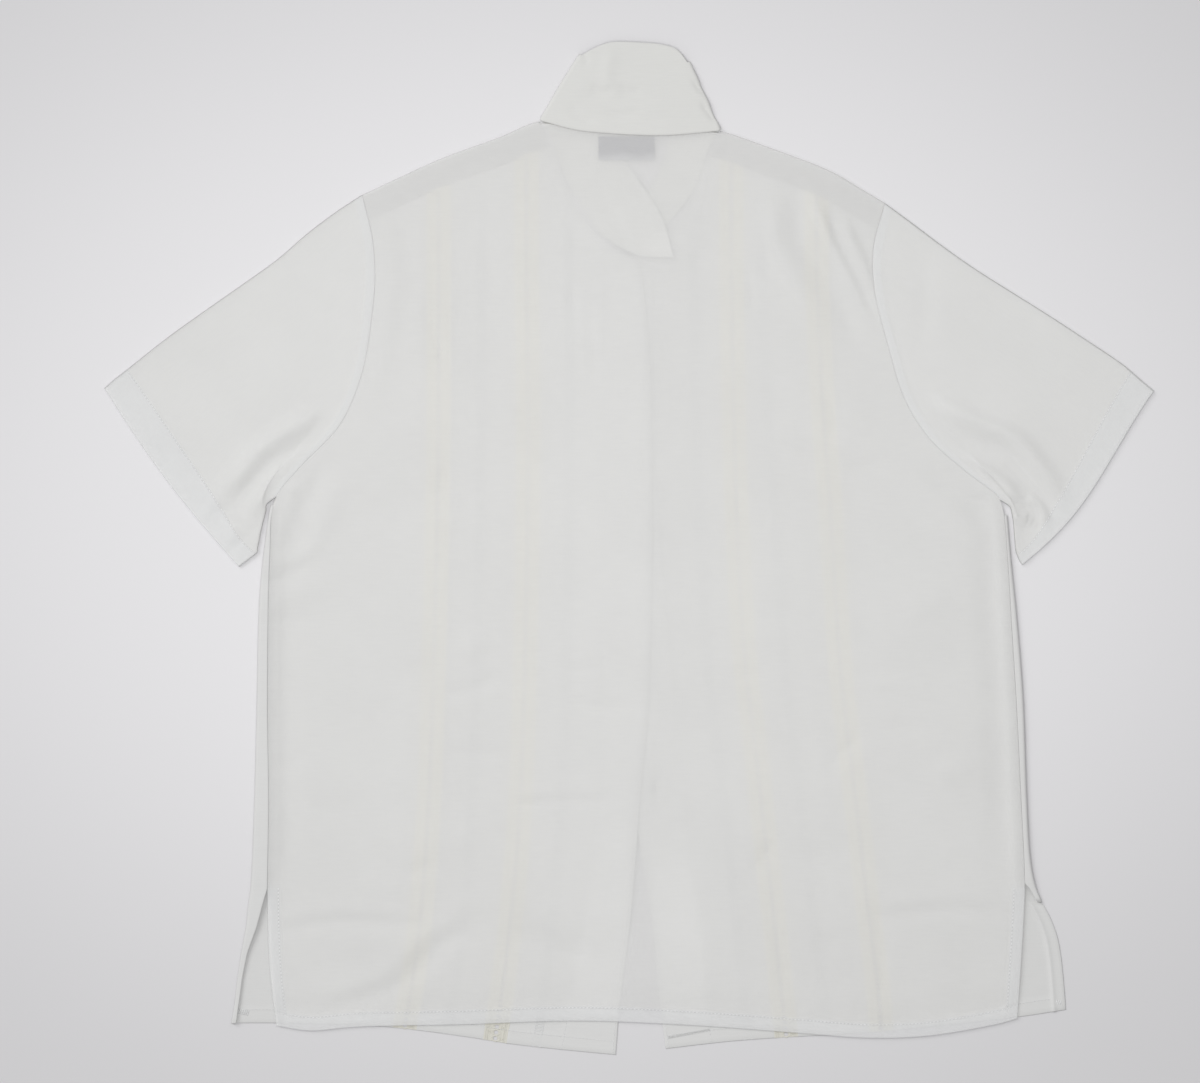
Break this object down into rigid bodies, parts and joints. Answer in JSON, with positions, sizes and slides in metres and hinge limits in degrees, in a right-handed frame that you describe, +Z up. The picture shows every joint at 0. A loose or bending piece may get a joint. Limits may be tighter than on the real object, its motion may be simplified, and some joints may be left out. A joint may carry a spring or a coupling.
{
  "type": "short-sleeved button-up shirt, laid face down",
  "caption": "Loose short-sleeved button-up shirt of thin white cloth, laid flat face down with the collar turned up; side slits, lace bands let into the fronts.",
  "frame": {"origin": "on the table under the middle of the shirt's box as it lies", "axes": "+X across the shirt towards the wearer's right sleeve, +Y from the hem to the collar, +Z up from the table towards the back of the shirt"},
  "size_m": [0.8611, 0.8296, 0.0076],
  "materials": {
    "cloth": "thin white plain weave, matt, slightly see-through",
    "collar_cloth": "the same cloth, double, a little warmer",
    "lace": "cream openwork lace, matt",
    "label_cloth": "dark blue-grey woven tape, plain",
    "button": "white, slightly pearly"
  },
  "bodies": {
    "root": {"back": "cloth", "front_left_centre": "cloth", "front_left_lace_inner": "lace", "front_left_middle": "cloth", "front_left_lace_outer": "lace", "front_left_side": "cloth", "front_right_centre": "cloth", "front_right_lace_inner": "lace", "front_right_middle": "cloth", "front_right_lace_outer": "lace", "front_right_side": "cloth", "sleeve_left": "cloth", "sleeve_right": "cloth", "collar": "collar_cloth", "neck_label": "label_cloth", "button_1": "button", "button_2": "button", "button_3": "button", "button_4": "button", "button_5": "button", "button_6": "button", "button_7": "button"}
  },
  "joints": []
}
